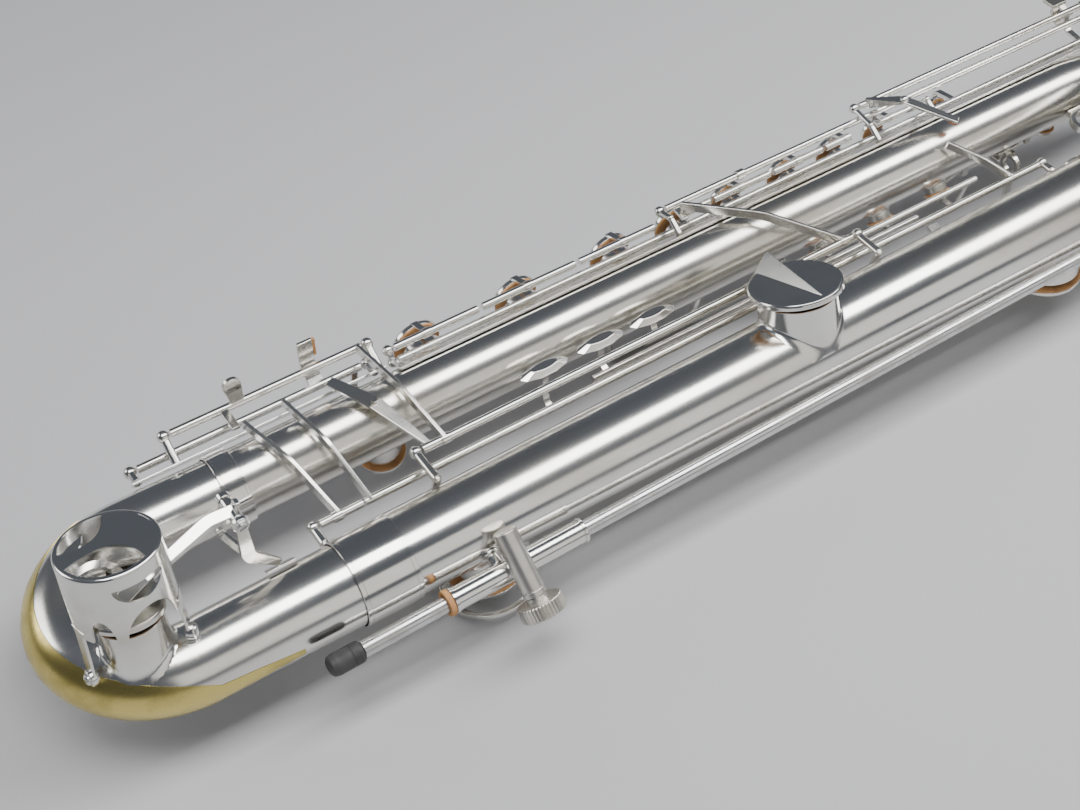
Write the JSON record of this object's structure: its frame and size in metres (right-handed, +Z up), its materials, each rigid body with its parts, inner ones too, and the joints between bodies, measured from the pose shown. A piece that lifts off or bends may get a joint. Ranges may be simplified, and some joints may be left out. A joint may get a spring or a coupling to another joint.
{
  "type": "baritone saxophone",
  "caption": "Plated baritone saxophone lying on its side: bell tube and body tube joined by a bow, keys on rods and posts, a low key cage, a floor peg, a neck and a mouthpiece.",
  "frame": {"origin": "centre of the base of the bounding box, on the surface that the horn lies on", "axes": "+X from the bow towards the upper bow along the tubes, +Y from the bell tube towards the body tube, +Z up from the surface"},
  "size_m": [1.1814, 0.3106, 0.1692],
  "materials": {
    "polished_metal": "bright polished plate",
    "plated_metal": "nickel or silver plate over brass, satin to bright",
    "worn_brass": "plate worn through to bare brass",
    "steel": "turned steel",
    "pad_leather": "tan leather",
    "hard_rubber": "polished hard rubber",
    "cork": "sheet cork",
    "black_rubber": "matt black rubber",
    "cane": "cut reed cane"
  },
  "bodies": {
    "horn": {"bell_flare": "polished_metal", "bell_posts": "plated_metal", "bell_tube": "plated_metal", "body_bell_brace": "plated_metal", "body_posts": "plated_metal", "body_tube": "plated_metal", "bow": "plated_metal", "bow_ferrule_bell": "polished_metal", "bow_ferrule_body": "polished_metal", "bow_plate": "worn_brass", "leg_guard": "plated_metal", "low_c_guard": "plated_metal", "low_c_post": "plated_metal", "low_c_sharp_guard": "plated_metal", "low_end_posts": "plated_metal", "neck_socket": "polished_metal", "peg_end_ring": "pad_leather", "peg_guide": "plated_metal", "peg_sleeve": "plated_metal", "strap_ring": "plated_metal", "thumb_hook": "plated_metal", "upper_bow": "plated_metal"},
    "low_c": {"low_c_key": "plated_metal"},
    "low_b": {"low_b_key": "plated_metal", "low_b_pad": "pad_leather"},
    "bridge": {"bridge_lever": "plated_metal"},
    "low_b_flat": {"low_b_flat_key": "plated_metal"},
    "low_c_link": {"low_c_link": "plated_metal"},
    "low_c_sharp": {"low_c_sharp_key": "plated_metal"},
    "key_d": {"key_d": "plated_metal"},
    "key_e": {"key_e": "plated_metal"},
    "key_f": {"key_f": "plated_metal"},
    "key_f_sharp": {"key_f_sharp": "plated_metal"},
    "key_g": {"key_g": "plated_metal"},
    "key_a": {"key_a": "plated_metal"},
    "key_b": {"key_b": "plated_metal"},
    "key_c": {"key_c": "plated_metal"},
    "table_b": {"table_b_rod": "plated_metal"},
    "table_b_flat": {"table_b_flat_rod": "plated_metal"},
    "g_sharp": {"g_sharp_key": "plated_metal"},
    "low_c_touch": {"low_c_touch": "plated_metal"},
    "e_flat": {"key_e_flat": "plated_metal"},
    "key_side_b_flat": {"key_side_b_flat": "plated_metal"},
    "key_side_c": {"key_side_c": "plated_metal"},
    "key_high_e": {"key_high_e": "plated_metal"},
    "key_palm_d": {"key_palm_d": "plated_metal"},
    "key_palm_e_flat": {"key_palm_e_flat": "plated_metal"},
    "key_palm_f": {"key_palm_f": "plated_metal"},
    "octave_thumb": {"octave_thumb_key": "plated_metal"},
    "peg": {"peg_rod": "steel", "peg_tip": "black_rubber"},
    "peg_knob": {"peg_knob": "polished_metal"},
    "neck": {"neck": "plated_metal", "neck_cork": "cork"},
    "neck_screw": {"neck_screw": "steel"},
    "mouthpiece": {"mouthpiece": "hard_rubber", "reed": "cane", "ligature": "polished_metal"},
    "ligature_screw": {"ligature_screw": "steel"},
    "neck_octave": {"neck_octave_key": "plated_metal"}
  },
  "joints": [
    {"name": "low_c_hinge", "type": "hinge", "parent": "horn", "child": "low_c", "pos_m": [-0.45577, -0.03852, 0.13697], "axis": [-0.0001, 1, 0.0048], "range_deg": [-2, 0], "stiffness_Nm_per_rad": 0.3, "springref_deg": 26.74},
    {"name": "low_b_hinge", "type": "hinge", "parent": "horn", "child": "low_b", "pos_m": [-0.37748, -0.01626, 0.08289], "axis": [0.9997, -0.0001, 0.0234], "range_deg": [0, 2.5], "stiffness_Nm_per_rad": 0.5, "springref_deg": -25.21},
    {"name": "bridge_hinge", "type": "hinge", "parent": "horn", "child": "bridge", "pos_m": [-0.3085, -0.01626, 0.08451], "axis": [0.9997, -0.0001, 0.0234], "range_deg": [0, 3], "stiffness_Nm_per_rad": 0.1, "springref_deg": -17.19},
    {"name": "low_b_flat_hinge", "type": "hinge", "parent": "horn", "child": "low_b_flat", "pos_m": [-0.37716, -0.02319, 0.06886], "axis": [0.9997, -0.0001, 0.0234], "range_deg": [-3, 0], "stiffness_Nm_per_rad": 0.5, "springref_deg": 28.65},
    {"name": "low_c_link_hinge", "type": "hinge", "parent": "horn", "child": "low_c_link", "pos_m": [-0.37716, -0.02319, 0.06886], "axis": [0.9997, -0.0001, 0.0234], "range_deg": [0, 4], "stiffness_Nm_per_rad": 0.1, "springref_deg": -17.19},
    {"name": "low_c_sharp_hinge", "type": "hinge", "parent": "horn", "child": "low_c_sharp", "pos_m": [-0.37636, -0.03002, 0.03484], "axis": [0.9997, -0.0001, 0.0234], "range_deg": [-8, 0], "stiffness_Nm_per_rad": 0.3, "springref_deg": 26.74},
    {"name": "key_d_hinge", "type": "hinge", "parent": "horn", "child": "key_d", "pos_m": [-0.37757, 0.07073, 0.08682], "axis": [0.9997, -0.0001, 0.0234], "range_deg": [-13, 0], "stiffness_Nm_per_rad": 0.12, "springref_deg": 28.65},
    {"name": "key_e_hinge", "type": "hinge", "parent": "horn", "child": "key_e", "pos_m": [-0.37757, 0.07073, 0.08682], "axis": [0.9997, -0.0001, 0.0234], "range_deg": [-13, 0], "stiffness_Nm_per_rad": 0.12, "springref_deg": 28.65},
    {"name": "key_f_hinge", "type": "hinge", "parent": "horn", "child": "key_f", "pos_m": [-0.37757, 0.07073, 0.08682], "axis": [0.9997, -0.0001, 0.0234], "range_deg": [-13, 0], "stiffness_Nm_per_rad": 0.12, "springref_deg": 28.65},
    {"name": "key_f_sharp_hinge", "type": "hinge", "parent": "horn", "child": "key_f_sharp", "pos_m": [-0.37757, 0.07073, 0.08682], "axis": [0.9997, -0.0001, 0.0234], "range_deg": [-13, 0], "stiffness_Nm_per_rad": 0.12, "springref_deg": 28.65},
    {"name": "key_g_hinge", "type": "hinge", "parent": "horn", "child": "key_g", "pos_m": [-0.37757, 0.07073, 0.08682], "axis": [0.9997, -0.0001, 0.0234], "range_deg": [-13, 0], "stiffness_Nm_per_rad": 0.12, "springref_deg": 28.65},
    {"name": "key_a_hinge", "type": "hinge", "parent": "horn", "child": "key_a", "pos_m": [-0.37757, 0.07073, 0.08682], "axis": [0.9997, -0.0001, 0.0234], "range_deg": [-13, 0], "stiffness_Nm_per_rad": 0.12, "springref_deg": 28.65},
    {"name": "key_b_hinge", "type": "hinge", "parent": "horn", "child": "key_b", "pos_m": [-0.37757, 0.07073, 0.08682], "axis": [0.9997, -0.0001, 0.0234], "range_deg": [-13, 0], "stiffness_Nm_per_rad": 0.12, "springref_deg": 28.65},
    {"name": "key_c_hinge", "type": "hinge", "parent": "horn", "child": "key_c", "pos_m": [-0.37757, 0.07073, 0.08682], "axis": [0.9997, -0.0001, 0.0234], "range_deg": [-13, 0], "stiffness_Nm_per_rad": 0.12, "springref_deg": 28.65},
    {"name": "table_b_hinge", "type": "hinge", "parent": "horn", "child": "table_b", "pos_m": [-0.37771, 0.0772, 0.09284], "axis": [0.9997, -0.0001, 0.0234], "range_deg": [-15, 0], "stiffness_Nm_per_rad": 0.12, "springref_deg": 28.65},
    {"name": "table_b_flat_hinge", "type": "hinge", "parent": "horn", "child": "table_b_flat", "pos_m": [-0.37786, 0.08417, 0.09938], "axis": [0.9997, -0.0001, 0.0234], "range_deg": [0, 2.4], "stiffness_Nm_per_rad": 0.2, "springref_deg": -22.92},
    {"name": "g_sharp_hinge", "type": "hinge", "parent": "horn", "child": "g_sharp", "pos_m": [-0.37743, 0.06426, 0.08079], "axis": [0.9997, -0.0001, 0.0234], "range_deg": [0, 5], "stiffness_Nm_per_rad": 0.15, "springref_deg": -30.56},
    {"name": "low_c_touch_hinge", "type": "hinge", "parent": "horn", "child": "low_c_touch", "pos_m": [-0.3777, 0.0797, 0.09236], "axis": [0.9997, -0.0001, 0.0234], "range_deg": [0, 8], "stiffness_Nm_per_rad": 0.1, "springref_deg": -22.92},
    {"name": "e_flat_hinge", "type": "hinge", "parent": "horn", "child": "e_flat", "pos_m": [-0.37738, 0.07526, 0.07884], "axis": [0.9997, -0.0001, 0.0234], "range_deg": [0, 8], "stiffness_Nm_per_rad": 0.2, "springref_deg": -34.38},
    {"name": "key_side_b_flat_hinge", "type": "hinge", "parent": "horn", "child": "key_side_b_flat", "pos_m": [-0.37667, -0.00709, 0.04795], "axis": [0.9997, -0.0001, 0.0234], "range_deg": [-8, 0], "stiffness_Nm_per_rad": 0.15, "springref_deg": 26.74},
    {"name": "key_side_c_hinge", "type": "hinge", "parent": "horn", "child": "key_side_c", "pos_m": [-0.3769, -0.00813, 0.05794], "axis": [0.9997, -0.0001, 0.0234], "range_deg": [-8, 0], "stiffness_Nm_per_rad": 0.15, "springref_deg": 26.74},
    {"name": "key_high_e_hinge", "type": "hinge", "parent": "horn", "child": "key_high_e", "pos_m": [-0.37713, -0.00718, 0.06794], "axis": [0.9997, -0.0001, 0.0234], "range_deg": [-8, 0], "stiffness_Nm_per_rad": 0.15, "springref_deg": 26.74},
    {"name": "key_palm_d_hinge", "type": "hinge", "parent": "horn", "child": "key_palm_d", "pos_m": [0.2524, 0.05343, 0.05268], "axis": [-0.011, 0.8807, 0.4736], "range_deg": [0, 10], "stiffness_Nm_per_rad": 0.06, "springref_deg": -23.88},
    {"name": "key_palm_e_flat_hinge", "type": "hinge", "parent": "horn", "child": "key_palm_e_flat", "pos_m": [0.29747, 0.03786, 0.05006], "axis": [0.0008, 0.9995, -0.03], "range_deg": [0, 10], "stiffness_Nm_per_rad": 0.06, "springref_deg": -23.88},
    {"name": "key_palm_f_hinge", "type": "hinge", "parent": "horn", "child": "key_palm_f", "pos_m": [0.34236, 0.05303, 0.05553], "axis": [-0.011, 0.8807, 0.4736], "range_deg": [0, 10], "stiffness_Nm_per_rad": 0.06, "springref_deg": -23.88},
    {"name": "octave_thumb_hinge", "type": "hinge", "parent": "horn", "child": "octave_thumb", "pos_m": [0.22449, 0.03571, 0.0485], "axis": [0.0024, 0.995, -0.0997], "range_deg": [0, 8], "stiffness_Nm_per_rad": 0.04, "springref_deg": -21.49},
    {"name": "peg_slide", "type": "slide", "parent": "horn", "child": "peg", "axis": [-0.9997, -0.0059, -0.0234], "range_m": [0, 0.45]},
    {"name": "peg_knob_hinge", "type": "hinge", "parent": "horn", "child": "peg_knob", "pos_m": [-0.30429, -0.13446, 0.05293], "axis": [0.0708, -0.689, -0.7213], "range_deg": [-180, 180]},
    {"name": "neck_hinge", "type": "hinge", "parent": "horn", "child": "neck", "pos_m": [0.49353, -0.03746, 0.13519], "axis": [0.9997, -0.0001, 0.0234], "range_deg": [-15, 15]},
    {"name": "neck_screw_hinge", "type": "hinge", "parent": "horn", "child": "neck_screw", "pos_m": [0.50301, -0.04597, 0.15738], "axis": [-0.0001, 1, 0.0048], "range_deg": [-180, 180]},
    {"name": "mouthpiece_slide", "type": "slide", "parent": "neck", "child": "mouthpiece", "axis": [0.0029, 1, 0.0049], "range_m": [0, 0.01]},
    {"name": "ligature_screw_hinge", "type": "hinge", "parent": "mouthpiece", "child": "ligature_screw", "pos_m": [0.58255, 0.10223, 0.13395], "axis": [0.9997, -0.003, 0.0234], "range_deg": [-180, 180]},
    {"name": "neck_octave_hinge", "type": "hinge", "parent": "neck", "child": "neck_octave", "pos_m": [0.5331, -0.03755, 0.15412], "axis": [-0.0001, 1, 0.0048], "range_deg": [-8, 0], "stiffness_Nm_per_rad": 0.03, "springref_deg": 15.28}
  ],
  "couplings": [
    {"joint": "low_b_hinge", "follows": "table_b_hinge", "ratio": -0.166},
    {"joint": "low_b_flat_hinge", "follows": "table_b_flat_hinge", "ratio": -1.24}
  ]
}
